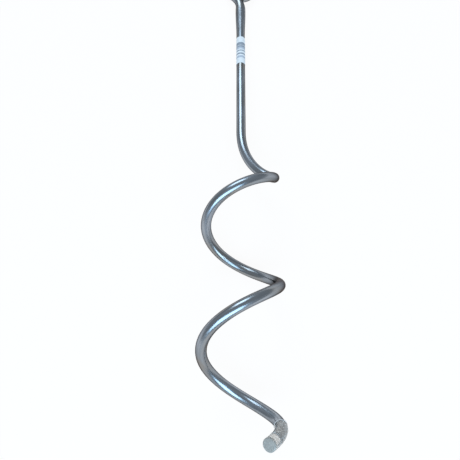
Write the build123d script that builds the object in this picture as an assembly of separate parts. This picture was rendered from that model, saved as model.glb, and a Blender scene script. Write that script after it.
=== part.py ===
from build123d import *
import os
from math import acos, cos, degrees, pi, radians, sin

# A corkscrew ground anchor, bent cold from one round, zinc-plated steel bar. It is screwed into the
# ground, and what it holds is fastened at its eye. A clear vinyl cap covers the tip, and a paper
# label is wrapped round the shank.
#
# Millimetres, +Z up. The anchor is built about its own axis, which runs along Y: the eye lies
# towards +Y and the tip towards -Y. At the end it is laid down as it comes to rest.

# Bar
bar_diameter = 7.94          # 5/16 in
end_chamfer = 0.6            # at both cut ends

# Coil, a right-handed screw. One turn is counted from +X and runs over the top
coil_radius = 26.94          # of the centreline where the first turn starts
coil_flare = 0.64            # growth of that radius in a turn
coil_lead = 85.4             # advance along the axis at the start of the first turn, in a turn
coil_lead_growth = 4.78      # what each turn's advance gains on the one before it, halved
coil_start = 0.06            # in turns
coil_end = 1.849             # in turns
coil_spans = 12              # stretches that the coil is bent in

# Shank: straight on the coil's axis, and bent outwards into the coil
shank_start = 46.6           # where the bend leaves the axis, above the coil's first turn
bend_pull = 132.9            # how far the bend keeps the shank's direction
bend_sweep = 73.7            # how early the bend takes up the coil's direction
neck_start = 201.0           # where the neck turns off the axis, above the coil's first turn

# The bar is pressed a little flat where it was held to bend the neck
flat_rise = 39.0             # along the bar, from round to flattest
flat_fall = 17.0             # along the bar, from flattest back to round
flat_into_neck = 13.0        # how much of the neck's bend is still pressed
flat_width = 9.7
flat_height = 6.6
flat_sections = 14           # cuts that the pressed stretch is drawn through

# Eye, closed on its own neck
eye_radius = 12.0            # of the centreline
neck_radius = 25.0
eye_gap = 2.2                # between the middle of the bar's end and the neck

# Tip: from the coil's end the bar curls inwards, past the axis
tip_inward = 28.9            # from the coil's end to the end of the cap, towards the axis
tip_around = 19.4            # in the way of the turn
tip_forward = 22.5           # along the axis
tip_lead = 19.6              # degrees between the tip's end and a square cut across the axis
tip_pull = 39.9              # how far the tip keeps the coil's direction
tip_reach = 91.0             # how early the tip takes up its last direction

# Cap, a dipped tube with one closed end
cap_length = 29.0            # along the bent bar
cap_empty = 10.0             # between the bar's end and the cap's closed end
cap_wall = 0.5
cap_play = 0.03              # between the cap and the bar
cap_end_wall = 1.0
cap_end_round = 0.8

# Label, wrapped once round the shank with its ends butted
label_start = 123.7          # above the coil's first turn
label_length = 33.5
label_wall = 0.14
label_play = 0.02
label_seam = 0.3             # between the butted ends
label_notch = 1.6            # the ends part at the lower end

# How the anchor lies on its eye and on the back of its first turn
rest_slope = 5.0             # degrees that the tip's end stands up
rest_roll = 5.3              # degrees about its own axis

bar_radius = bar_diameter / 2
flat_start = neck_start + flat_into_neck - flat_fall - flat_rise
axis_down = Vector(0, -1, 0)


def coil_point(turn):
    radius = coil_radius + coil_flare * turn
    advance = coil_lead * turn + coil_lead_growth * turn**2
    angle = 2 * pi * turn
    return Vector(radius * cos(angle), -advance, radius * sin(angle))


def coil_rate(turn):
    """How fast the coil's centreline runs on, for each turn."""
    radius = coil_radius + coil_flare * turn
    lead = coil_lead + 2 * coil_lead_growth * turn
    angle = 2 * pi * turn
    outward = Vector(cos(angle), 0, sin(angle))
    around = Vector(-sin(angle), 0, cos(angle))
    return outward * coil_flare + around * 2 * pi * radius + axis_down * lead


def coil_tangent(turn):
    return coil_rate(turn).normalized()


def smooth_bend(start, start_tangent, start_pull, end, end_tangent, end_pull):
    """A free bend between two straight or coiled stretches, tangent to both."""
    return Bezier(start, start + start_tangent * start_pull / 3, end - end_tangent * end_pull / 3, end)


def coil_span(start, end):
    """A short stretch of the coil, which the curve follows to a few hundredths."""
    third = (end - start) / 3
    first = coil_point(start)
    last = coil_point(end)
    return Bezier(first, first + coil_rate(start) * third, last - coil_rate(end) * third, last)


def eye_arcs():
    """The neck turns off the axis, and the eye goes round a centre that lies on the axis again."""
    neck_turn = degrees(acos(neck_radius / (neck_radius + eye_radius)))
    pressed_turn = degrees(flat_into_neck / neck_radius)
    centres = neck_radius + eye_radius
    closed = neck_radius + bar_radius + eye_gap
    open_turn = degrees(acos((centres**2 + eye_radius**2 - closed**2) / (2 * centres * eye_radius)))
    neck = CenterArc((-neck_radius, neck_start), neck_radius, pressed_turn, neck_turn - pressed_turn)
    eye_centre = (0, neck_start + centres * sin(radians(neck_turn)))
    eye = CenterArc(eye_centre, eye_radius, 180 + neck_turn, open_turn - 360)
    return neck, eye


def bar_path():
    neck, eye = eye_arcs()
    shank = Line((0, shank_start, 0), (0, flat_start, 0))
    bend = smooth_bend(
        Vector(0, shank_start, 0), axis_down, bend_pull,
        coil_point(coil_start), coil_tangent(coil_start), bend_sweep,
    )
    span = (coil_end - coil_start) / coil_spans
    turns = [coil_start + span * number for number in range(coil_spans)]
    coil = [coil_span(turn, turn + span) for turn in turns]
    whole_tip = tip_path()
    tip = whole_tip.trim(0, 1 - (cap_empty + cap_end_wall) / whole_tip.length)
    return [eye, neck, shank, bend, *coil, tip]


def tip_path():
    """From the coil's end to the outside of the cap's closed end."""
    start = coil_point(coil_end)
    angle = 2 * pi * coil_end
    outward = Vector(cos(angle), 0, sin(angle))
    around = Vector(-sin(angle), 0, cos(angle))
    end = start - outward * tip_inward + around * tip_around + axis_down * tip_forward
    last = axis_down * sin(radians(tip_lead)) - outward * cos(radians(tip_lead))
    return smooth_bend(start, coil_tangent(coil_end), tip_pull, end, last, tip_reach)


def round_sweep(path, radius):
    start = path @ 0
    return sweep(Plane(start, z_dir=path % 0) * Circle(radius), path=path)


def pressed_cut(distance):
    """A cut square to the bar, this far above the start of the pressed stretch."""
    height = flat_start + distance
    if height <= neck_start:
        return Plane((0, height, 0), x_dir=(1, 0, 0), z_dir=(0, 1, 0))
    turn = (height - neck_start) / neck_radius
    outward = Vector(cos(turn), sin(turn), 0)
    place = Vector(-neck_radius, neck_start, 0) + outward * neck_radius
    return Plane(place, x_dir=outward, z_dir=(-sin(turn), cos(turn), 0))


def pressed_flat():
    """The section goes from round to oval and back to round, and on into the neck's bend."""
    sections = []
    for number in range(flat_sections + 1):
        distance = (flat_rise + flat_fall) * number / flat_sections
        if distance < flat_rise:
            press = (1 - cos(pi * distance / flat_rise)) / 2
        else:
            press = (1 + cos(pi * (distance - flat_rise) / flat_fall)) / 2
        width = bar_diameter + (flat_width - bar_diameter) * press
        thickness = bar_diameter - (bar_diameter - flat_height) * press
        sections.append(pressed_cut(distance) * Ellipse(width / 2, thickness / 2))
    return loft(sections)


def anchor_bar():
    bar = pressed_flat()
    for edge in bar_path():
        bar += round_sweep(edge, bar_radius)
    ends = bar.faces().filter_by(GeomType.PLANE)
    return chamfer(ends.edges(), end_chamfer)


def tip_cap():
    """A tube closed at the tip, drawn over the last stretch of the bar."""
    tip = tip_path()
    start = 1 - cap_length / tip.length
    outside = round_sweep(tip.trim(start, 1), bar_radius + cap_play + cap_wall)
    closed_end = outside.faces().filter_by(GeomType.PLANE).sort_by(Axis((0, 0, 0), tip % 1))[-1]
    outside = fillet(closed_end.edges(), cap_end_round)
    bore = round_sweep(tip.trim(start, 1 - cap_end_wall / tip.length), bar_radius + cap_play)
    return outside - bore


def label():
    """A sleeve of paper, slit along the top where its ends meet, with a small notch at its lower end."""
    inside = bar_radius + label_play
    sleeve = Circle(inside + label_wall) - Circle(inside)
    top = Plane((0, label_start, 0), x_dir=(1, 0, 0), z_dir=(0, 1, 0))
    wrap = extrude(top * sleeve, label_length)
    seam = Polygon(
        (-label_seam / 2, label_start + label_length),
        (label_seam / 2, label_start + label_length),
        (label_seam / 2, label_start + label_notch),
        (label_notch / 2, label_start),
        (-label_notch / 2, label_start),
        (-label_seam / 2, label_start + label_notch),
        align=None,
    )
    return wrap - extrude(seam, bar_diameter)


def laid_down(parts):
    """Turn the anchor to the way it rests, and set the middle of its footprint on the origin."""
    turned = [Rot(X=-rest_slope) * (Rot(Y=rest_roll) * part) for part in parts]
    box = Compound(children=[Compound([*part.solids()]) for part in turned]).bounding_box()
    return [Pos(-box.center().X, -box.center().Y, -box.min.Z) * part for part in turned]


names = ["anchor_bar", "tip_cap", "label"]
os.makedirs("parts", exist_ok=True)
for name, part in zip(names, laid_down([anchor_bar(), tip_cap(), label()])):
    export_step(part, f"parts/{name}.step")
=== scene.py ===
from math import acos, cos, pi, radians, sin

import bmesh
import bpy
from mathutils import Matrix, Quaternion, Vector


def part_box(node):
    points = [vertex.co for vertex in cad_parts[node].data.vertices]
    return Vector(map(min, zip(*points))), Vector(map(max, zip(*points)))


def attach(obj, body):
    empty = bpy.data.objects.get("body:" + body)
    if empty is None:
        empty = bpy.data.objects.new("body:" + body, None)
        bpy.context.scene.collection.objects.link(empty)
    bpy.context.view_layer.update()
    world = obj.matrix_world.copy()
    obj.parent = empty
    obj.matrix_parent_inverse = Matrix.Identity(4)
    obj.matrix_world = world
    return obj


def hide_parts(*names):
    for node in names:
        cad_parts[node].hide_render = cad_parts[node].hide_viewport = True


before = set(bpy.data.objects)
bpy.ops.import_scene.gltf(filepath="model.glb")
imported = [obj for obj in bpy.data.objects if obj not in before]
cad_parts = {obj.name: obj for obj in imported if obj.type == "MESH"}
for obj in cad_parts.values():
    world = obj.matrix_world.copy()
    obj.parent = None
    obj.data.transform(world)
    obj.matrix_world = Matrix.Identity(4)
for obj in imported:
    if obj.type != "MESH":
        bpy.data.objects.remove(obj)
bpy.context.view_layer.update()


# --- Studio -------------------------------------------------------------------------------------
# A pale floor under a pale surround, with two long soft lamps over the anchor. The camera stands
# over the tip's end and looks down along the coil.

def pale_surface(name, colour):
    """Pale stuff that still takes the anchor's shadow."""
    material = bpy.data.materials.new(name)
    material.use_nodes = True
    surface = material.node_tree.nodes["Principled BSDF"]
    surface.inputs["Base Color"].default_value = (*colour, 1)
    surface.inputs["Roughness"].default_value = 0.9
    surface.inputs["Specular IOR Level"].default_value = 0.1
    return material


floor_half = 6.0
floor_mesh = bmesh.new()
bmesh.ops.create_grid(floor_mesh, x_segments=1, y_segments=1, size=floor_half)
floor_data = bpy.data.meshes.new("floor")
floor_mesh.to_mesh(floor_data)
floor_mesh.free()
floor = bpy.data.objects.new("floor", floor_data)
bpy.context.scene.collection.objects.link(floor)
floor_paint = pale_surface("floor_white", (0.93, 0.93, 0.93))
floor_data.materials.append(floor_paint)

# to the camera, and in metal and vinyl, the floor is nearly its own bright white
paint_nodes = floor_paint.node_tree.nodes
paint_links = floor_paint.node_tree.links
seen = paint_nodes.new("ShaderNodeLightPath")
seen_or_mirrored = paint_nodes.new("ShaderNodeMath")
seen_or_mirrored.operation = "ADD"
seen_through = paint_nodes.new("ShaderNodeMath")
seen_through.operation = "ADD"
seen_through.use_clamp = True
bright_share = paint_nodes.new("ShaderNodeMath")
bright_share.operation = "MULTIPLY"
bright_share.inputs[1].default_value = 0.93
bright = paint_nodes.new("ShaderNodeEmission")
bright.inputs["Color"].default_value = (1, 1, 1, 1)
mixed = paint_nodes.new("ShaderNodeMixShader")
paint_links.new(seen.outputs["Is Camera Ray"], seen_or_mirrored.inputs[0])
paint_links.new(seen.outputs["Is Glossy Ray"], seen_or_mirrored.inputs[1])
paint_links.new(seen_or_mirrored.outputs[0], seen_through.inputs[0])
paint_links.new(seen.outputs["Is Transmission Ray"], seen_through.inputs[1])
paint_links.new(seen_through.outputs[0], bright_share.inputs[0])
paint_links.new(bright_share.outputs[0], mixed.inputs[0])
paint_links.new(paint_nodes["Principled BSDF"].outputs[0], mixed.inputs[1])
paint_links.new(bright.outputs[0], mixed.inputs[2])
paint_links.new(mixed.outputs[0], paint_nodes["Material Output"].inputs["Surface"])

surround = bpy.data.worlds.new("surround")
surround.use_nodes = True
surround.node_tree.nodes["Background"].inputs["Color"].default_value = (0.86, 0.93, 1.0, 1)
surround.node_tree.nodes["Background"].inputs["Strength"].default_value = 0.40
bpy.context.scene.world = surround
bpy.context.scene.view_settings.view_transform = "Standard"


def soft_lamp(name, place, target, width, height, power, colour):
    data = bpy.data.lights.new(name, "AREA")
    data.shape = "RECTANGLE"
    data.size = width
    data.size_y = height
    data.energy = power
    data.color = colour
    lamp = bpy.data.objects.new(name, data)
    lamp.location = place
    lamp.rotation_euler = (Vector(target) - Vector(place)).to_track_quat("-Z", "Y").to_euler()
    bpy.context.scene.collection.objects.link(lamp)


soft_lamp("lamp_far", (-0.25, 1.1, 1.2), (0, 0, 0.03), 0.9, 0.9, 10, (0.70, 0.87, 1.0))
soft_lamp("lamp_near", (0.1, -1.2, 0.95), (0, -0.05, 0.03), 1.7, 1.0, 27, (0.52, 0.78, 1.0))

camera_data = bpy.data.cameras.new("camera")
camera_data.sensor_width = 36
camera_data.lens = 36.41
camera = bpy.data.objects.new("camera", camera_data)
camera.location = (0.01559, -0.19886, 0.36063)
look = Vector((-0.06797, 0.36558, -0.92833))
camera_tilt = radians(11.29)         # the camera is turned a little clockwise
camera.rotation_mode = "QUATERNION"
camera.rotation_quaternion = look.to_track_quat("-Z", "Y") @ Quaternion((0, 0, 1), -camera_tilt)
bpy.context.scene.collection.objects.link(camera)
bpy.context.scene.camera = camera


# --- Anchor bar ---------------------------------------------------------------------------------
# One round steel bar, drawn, cut, bent cold into eye, neck, shank, coil and tip, and zinc plated.
# Its form is built about its own axis, which runs along Y, and then laid down on eye and coil.

bar_radius = 0.00397
end_chamfer = 0.0006

coil_radius = 0.02694
coil_flare = 0.00064
coil_lead = 0.0854
coil_lead_growth = 0.00478
coil_start = 0.06
coil_end = 1.849
coil_spans = 12

shank_start = 0.0466
bend_pull = 0.1329
bend_sweep = 0.0737
neck_start = 0.201

flat_rise = 0.039
flat_fall = 0.017
flat_into_neck = 0.013
flat_half_width = 0.00485
flat_half_height = 0.0033

eye_radius = 0.012
neck_radius = 0.025
eye_gap = 0.0022
flat_start = neck_start + flat_into_neck - flat_fall - flat_rise

tip_inward = 0.0289
tip_around = 0.0194
tip_forward = 0.0225
tip_lead = radians(19.6)
tip_pull = 0.0399
tip_reach = 0.0910
bar_short_of_tip = 0.011

rest_slope = radians(5.0)
rest_roll = radians(5.3)

bar_sides = 48
eye_steps = 90
neck_steps = 30
shank_steps = 90
bend_steps = 60
span_steps = 24
tip_steps = 60

axis_down = Vector((0, -1, 0))


def coil_directions(turn):
    """Straight out from the coil's axis and around it, after a number of turns."""
    angle = 2 * pi * turn
    return Vector((cos(angle), 0, sin(angle))), Vector((-sin(angle), 0, cos(angle)))


def coil_point(turn):
    radius = coil_radius + coil_flare * turn
    advance = coil_lead * turn + coil_lead_growth * turn**2
    return Vector((radius * cos(2 * pi * turn), -advance, radius * sin(2 * pi * turn)))


def coil_rate(turn):
    """How the coil's centreline runs on, per turn."""
    outward, around = coil_directions(turn)
    radius = coil_radius + coil_flare * turn
    lead = coil_lead + 2 * coil_lead_growth * turn
    return outward * coil_flare + around * 2 * pi * radius + axis_down * lead


def arc_points(centre, radius, start, sweep, steps):
    """Points along an arc that lies flat, from a start angle in radians."""
    points = []
    for step in range(steps + 1):
        turn = start + sweep * step / steps
        points.append(Vector((centre[0] + radius * cos(turn), centre[1] + radius * sin(turn), 0)))
    return points


def bend_points(first, first_rate, last, last_rate, steps):
    """Points along a free bend with a given run at each end."""
    one = first + first_rate / 3
    two = last - last_rate / 3
    points = []
    for step in range(steps + 1):
        u = step / steps
        near = first * (1 - u) ** 3 + one * 3 * u * (1 - u) ** 2
        points.append(near + two * 3 * u**2 * (1 - u) + last * u**3)
    return points


def tip_points(steps):
    """From the coil's end to where the cap's closed end will be."""
    outward, around = coil_directions(coil_end)
    first = coil_rate(coil_end).normalized()
    last = axis_down * sin(tip_lead) - outward * cos(tip_lead)
    start = coil_point(coil_end)
    end = start - outward * tip_inward + around * tip_around + axis_down * tip_forward
    return bend_points(start, first * tip_pull, end, last * tip_reach, steps)


def run_lengths(points):
    """How far along the bar each point lies."""
    lengths = [0.0]
    for before, after in zip(points, points[1:]):
        lengths.append(lengths[-1] + (after - before).length)
    return lengths


def cut_back(points, short):
    """The points of a bend that stops a little before its end."""
    lengths = run_lengths(points)
    limit = lengths[-1] - short
    kept = [point for point, length in zip(points, lengths) if length < limit]
    number = len(kept)
    part_way = (limit - lengths[number - 1]) / (lengths[number] - lengths[number - 1])
    return kept + [points[number - 1].lerp(points[number], part_way)]


def press_at(distance):
    """How far the bar is pressed flat, from 0, round, to 1, at a distance above flat_start."""
    if not 0 < distance < flat_rise + flat_fall:
        return 0.0
    if distance < flat_rise:
        return (1 - cos(pi * distance / flat_rise)) / 2
    return (1 + cos(pi * (distance - flat_rise) / flat_fall)) / 2


def bar_points():
    """The bar's centreline from the eye's end to the tip, and the number of the shank's first point."""
    neck_turn = acos(neck_radius / (neck_radius + eye_radius))
    centres = neck_radius + eye_radius
    closed = neck_radius + bar_radius + eye_gap
    open_turn = acos((centres**2 + eye_radius**2 - closed**2) / (2 * centres * eye_radius))
    eye_centre = (0, neck_start + centres * sin(neck_turn))
    points = arc_points(
        eye_centre, eye_radius, neck_turn + open_turn - pi, 2 * pi - open_turn, eye_steps,
    )
    points += arc_points(
        (-neck_radius, neck_start), neck_radius, neck_turn, -neck_turn, neck_steps,
    )[1:]
    shank_number = len(points) - 1
    for step in range(1, shank_steps + 1):
        points.append(Vector((0, neck_start + (shank_start - neck_start) * step / shank_steps, 0)))
    points += bend_points(
        points[-1], axis_down * bend_pull,
        coil_point(coil_start), coil_rate(coil_start).normalized() * bend_sweep, bend_steps,
    )[1:]
    span = (coil_end - coil_start) / coil_spans
    for number in range(coil_spans):
        start = coil_start + span * number
        end = start + span
        points += bend_points(
            coil_point(start), coil_rate(start) * span,
            coil_point(end), coil_rate(end) * span, span_steps,
        )[1:]
    points += cut_back(tip_points(tip_steps), bar_short_of_tip)[1:]
    return points, shank_number


def upright_frames(points, upright):
    """A turned frame at each point: its Z runs along the bar and its Y follows the upright."""
    frames = []
    for number, point in enumerate(points):
        before = points[max(number - 1, 0)]
        after = points[min(number + 1, len(points) - 1)]
        along = (after - before).normalized()
        upright = (upright - along * upright.dot(along)).normalized()
        side = upright.cross(along)
        turned = Matrix((side, upright, along)).transposed().to_4x4()
        frames.append(Matrix.Translation(point) @ turned)
    return frames


def drawn_form(name, frames, lengths, half_sizes, sides):
    """A form drawn through one ring at each frame, and closed at both ends. It keeps the place of
    each point on the bar before it was bent, as an attribute that the finish is laid out on."""
    mesh = bmesh.new()
    straight = mesh.verts.layers.float_vector.new("unbent")
    rings = []
    for place, length, (half_width, half_height) in zip(frames, lengths, half_sizes):
        stretch = Matrix.Diagonal((half_width, half_height, 1, 1))
        made = bmesh.ops.create_circle(
            mesh, cap_ends=False, segments=sides, radius=1, matrix=place @ stretch,
        )
        flat_place = place.inverted()
        for vert in made["verts"]:
            local = flat_place @ vert.co
            vert[straight] = (local.x, local.y, length)
        rings.append({edge for vert in made["verts"] for edge in vert.link_edges})
    for ring, following in zip(rings, rings[1:]):
        bmesh.ops.bridge_loops(mesh, edges=list(ring | following))
    for ring in (rings[0], rings[-1]):
        bmesh.ops.contextual_create(mesh, geom=list(ring))
    bmesh.ops.recalc_face_normals(mesh, faces=mesh.faces)
    for face in mesh.faces:
        face.smooth = len(face.verts) == 4      # the two flat ends stay flat
    data = bpy.data.meshes.new(name)
    mesh.to_mesh(data)
    mesh.free()
    piece = bpy.data.objects.new(name, data)
    bpy.context.scene.collection.objects.link(piece)
    return piece


bar_line, shank_number = bar_points()
bar_frames = upright_frames(bar_line, Vector((0, 0, 1)))
bar_lengths = run_lengths(bar_line)
flat_low_length = bar_lengths[shank_number] + neck_start - flat_start
bar_sizes = []
for length in bar_lengths:
    press = press_at(flat_low_length - length)
    bar_sizes.append((
        bar_radius + (flat_half_width - bar_radius) * press,
        bar_radius + (flat_half_height - bar_radius) * press,
    ))

# each cut end gets one smaller ring, which is its chamfer
small_end = (bar_radius - end_chamfer, bar_radius - end_chamfer)
first_cut = bar_frames[0]
last_cut = bar_frames[-1]
bar_frames[0] = first_cut @ Matrix.Translation((0, 0, end_chamfer))
bar_frames[-1] = last_cut @ Matrix.Translation((0, 0, -end_chamfer))
bar_frames = [first_cut, *bar_frames, last_cut]
bar_lengths = [0.0, *bar_lengths, bar_lengths[-1]]
bar_sizes = [small_end, *bar_sizes, small_end]

bar = drawn_form("bar", bar_frames, bar_lengths, bar_sizes, bar_sides)

# lay the anchor down, and bring it to where the frame's bar lies
laid_turn = Matrix.Rotation(-rest_slope, 4, "X") @ Matrix.Rotation(rest_roll, 4, "Y")
bar.data.transform(laid_turn)
bar_low = Vector([min(vert.co[axis] for vert in bar.data.vertices) for axis in range(3)])
bar_high = Vector([max(vert.co[axis] for vert in bar.data.vertices) for axis in range(3)])
frame_low, frame_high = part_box("anchor_bar")
laid_shift = Matrix.Translation((frame_low + frame_high - bar_low - bar_high) / 2)
bar.data.transform(laid_shift)
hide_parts("anchor_bar")
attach(bar, "root")


def laid_out(nodes, links, stretch):
    """Coordinates on the straight bar, shrunk along it or across it for a drawn pattern."""
    place = nodes.new("ShaderNodeAttribute")
    place.attribute_name = "unbent"
    scaled = nodes.new("ShaderNodeMapping")
    scaled.inputs["Scale"].default_value = stretch
    links.new(place.outputs["Vector"], scaled.inputs["Vector"])
    return scaled.outputs["Vector"]


def clouds(nodes, links, coordinates, scale, detail):
    noise = nodes.new("ShaderNodeTexNoise")
    noise.inputs["Scale"].default_value = scale
    noise.inputs["Detail"].default_value = detail
    links.new(coordinates, noise.inputs["Vector"])
    return noise.outputs["Fac"]


def ramp(nodes, links, value, stops):
    """A run of colours, each at its own value from 0 to 1."""
    made = nodes.new("ShaderNodeValToRGB")
    made.color_ramp.elements[0].position = stops[0][0]
    made.color_ramp.elements[0].color = (*stops[0][1], 1)
    made.color_ramp.elements[1].position = stops[-1][0]
    made.color_ramp.elements[1].color = (*stops[-1][1], 1)
    for position, colour in stops[1:-1]:
        made.color_ramp.elements.new(position).color = (*colour, 1)
    links.new(value, made.inputs["Fac"])
    return made.outputs["Color"]


def zinc_plating():
    """Bright zinc on drawn bar: blue grey with drawn lines, and rubbed, browner patches."""
    material = bpy.data.materials.new("zinc_plated_steel")
    material.use_nodes = True
    nodes = material.node_tree.nodes
    links = material.node_tree.links
    surface = nodes["Principled BSDF"]
    surface.inputs["Metallic"].default_value = 1
    surface.inputs["Specular Tint"].default_value = (0.16, 0.13, 0.11, 1)

    drawn = clouds(nodes, links, laid_out(nodes, links, (1, 1, 0.03)), 900, 4)
    patches = clouds(nodes, links, laid_out(nodes, links, (1, 1, 0.35)), 90, 3)
    base = ramp(nodes, links, patches, [
        (0.34, (0.34, 0.335, 0.325)),
        (0.48, (0.34, 0.37, 0.40)),
        (0.66, (0.42, 0.46, 0.51)),
    ])
    lines = ramp(nodes, links, drawn, [(0.35, (0.74, 0.75, 0.77)), (0.65, (1.0, 1.0, 1.0))])
    tinted = nodes.new("ShaderNodeMix")
    tinted.data_type = "RGBA"
    tinted.blend_type = "MULTIPLY"
    tinted.inputs["Factor"].default_value = 1
    links.new(base, tinted.inputs["A"])
    links.new(lines, tinted.inputs["B"])
    links.new(tinted.outputs["Result"], surface.inputs["Base Color"])

    rough = nodes.new("ShaderNodeMapRange")
    rough.inputs["From Min"].default_value = 0.3
    rough.inputs["From Max"].default_value = 0.7
    rough.inputs["To Min"].default_value = 0.20
    rough.inputs["To Max"].default_value = 0.30
    links.new(patches, rough.inputs["Value"])
    links.new(rough.outputs["Result"], surface.inputs["Roughness"])

    relief = nodes.new("ShaderNodeBump")
    relief.inputs["Strength"].default_value = 0.06
    relief.inputs["Distance"].default_value = 0.0002
    links.new(drawn, relief.inputs["Height"])
    links.new(relief.outputs["Normal"], surface.inputs["Normal"])
    return material


bar.data.materials.append(zinc_plating())


# --- Tip cap ------------------------------------------------------------------------------------
# A clear, slightly cloudy vinyl cap, dipped in one piece with a closed end. It is drawn over the
# last stretch of the bar and keeps the points of the coil from harm.

cap_length = 0.029
cap_bore = bar_radius + 0.00003
cap_wall = 0.0005
cap_end_wall = 0.001
cap_end_round = 0.0008
rim_length = 0.0011
rim_bead = 0.0002                    # the rim is rolled a little thicker
rim_wall_share = 0.7                 # one more ring lies this far across the rim's flat face
outside_shift = 0.0001               # sets the outside's clouds a little apart from the bore's
cap_sides = 40
cap_steps = 120
end_round_steps = 6

tip_line = tip_points(cap_steps)
tip_lengths = run_lengths(tip_line)
rim_place = tip_lengths[-1] - cap_length
cap_frames = []
cap_lengths = []
for place, length in zip(upright_frames(tip_line, Vector((0, 0, 1))), tip_lengths):
    if length >= rim_place:
        cap_frames.append(place)
        cap_lengths.append(length - rim_place)

# The rings run from the bore's closed end back to the rim, and then down the outside. Three of
# them lie in the rim's plane, and there a bridge crosses over the mouth, inside the bar.
end_frame = cap_frames[-1]
rings = []
for place, length in zip(reversed(cap_frames), reversed(cap_lengths)):
    if length <= cap_length - cap_end_wall:
        rings.append((place, length, cap_bore))
rings.append((cap_frames[0], 0, cap_bore + cap_wall * rim_wall_share))
for place, length in zip(cap_frames, cap_lengths):
    if length <= cap_length - cap_end_round:
        bead = rim_bead * max(0, 1 - length / rim_length)
        rings.append((place, length + outside_shift, cap_bore + cap_wall + bead))
for step in range(end_round_steps):
    turn = pi / 2 * (step + 1) / end_round_steps
    back = end_frame @ Matrix.Translation((0, 0, -cap_end_round * (1 - sin(turn))))
    rings.append((back, cap_length, cap_bore + cap_wall - cap_end_round * (1 - cos(turn))))

cap = drawn_form(
    "cap",
    [place for place, length, radius in rings],
    [length for place, length, radius in rings],
    [(radius, radius) for place, length, radius in rings],
    cap_sides,
)
cap.data.transform(laid_shift @ laid_turn)
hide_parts("tip_cap")
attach(cap, "root")


def clear_vinyl(name, milk_low, milk_high, clearness):
    """Vinyl that lets most light through and scatters the rest, in faint clouds and drawn lines."""
    material = bpy.data.materials.new(name)
    material.use_nodes = True
    nodes = material.node_tree.nodes
    links = material.node_tree.links
    surface = nodes["Principled BSDF"]
    surface.inputs["Transmission Weight"].default_value = clearness
    surface.inputs["IOR"].default_value = 1.45
    cloudy = clouds(nodes, links, laid_out(nodes, links, (1, 1, 0.2)), 420, 3)
    milk = ramp(nodes, links, cloudy, [(0.3, milk_low), (0.7, milk_high)])
    links.new(milk, surface.inputs["Base Color"])
    rough = nodes.new("ShaderNodeMapRange")
    rough.inputs["To Min"].default_value = 0.08
    rough.inputs["To Max"].default_value = 0.20
    links.new(cloudy, rough.inputs["Value"])
    links.new(rough.outputs["Result"], surface.inputs["Roughness"])
    return material


side_number, rim_number, end_number = range(3)
for vinyl in (
    clear_vinyl("clear_vinyl", (0.84, 0.83, 0.80), (0.96, 0.955, 0.94), 0.86),
    clear_vinyl("vinyl_rim", (0.93, 0.95, 0.97), (0.98, 0.99, 1.0), 0.1),
    clear_vinyl("vinyl_end", (0.50, 0.47, 0.43), (0.66, 0.62, 0.57), 0.42),
):
    cap.data.materials.append(vinyl)
unbent = cap.data.attributes["unbent"].data
for face in cap.data.polygons:
    distances = [unbent[corner].vector.z for corner in face.vertices]
    if max(distances) < rim_length:
        face.material_index = rim_number
    elif min(distances) > cap_length - cap_end_wall - cap_wall:
        face.material_index = end_number
    else:
        face.material_index = side_number


# --- Label --------------------------------------------------------------------------------------
# A white paper label, wrapped once round the shank and glued. Its ends meet along the top and part
# a little at the lower end. Plain grey bars are printed across it.

def printed_paper():
    material = bpy.data.materials.new("label_paper")
    material.use_nodes = True
    nodes = material.node_tree.nodes
    links = material.node_tree.links
    surface = nodes["Principled BSDF"]
    surface.inputs["Roughness"].default_value = 0.55
    low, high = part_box("label")
    place = nodes.new("ShaderNodeTexCoord")
    along = nodes.new("ShaderNodeSeparateXYZ")
    links.new(place.outputs["Object"], along.inputs["Vector"])
    label_share = nodes.new("ShaderNodeMapRange")
    label_share.inputs["From Min"].default_value = low.y
    label_share.inputs["From Max"].default_value = high.y
    links.new(along.outputs["Y"], label_share.inputs["Value"])
    white = (0.86, 0.86, 0.87)
    grey = (0.30, 0.33, 0.38)
    pale_grey = (0.52, 0.55, 0.62)
    print_ramp = ramp(nodes, links, label_share.outputs["Result"], [(0.0, white), (1.0, white)])
    links.new(print_ramp, surface.inputs["Base Color"])
    stops = print_ramp.node.color_ramp
    stops.interpolation = "CONSTANT"
    printed_bars = (
        (0.20, 0.28, pale_grey), (0.33, 0.38, grey), (0.45, 0.49, grey), (0.53, 0.60, pale_grey),
        (0.60, 0.66, grey), (0.67, 0.78, grey),
    )
    for start, end, ink in printed_bars:
        stops.elements.new(start).color = (*ink, 1)
        stops.elements.new(end).color = (*white, 1)
    return material


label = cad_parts["label"]
label.data.materials.clear()
label.data.materials.append(printed_paper())
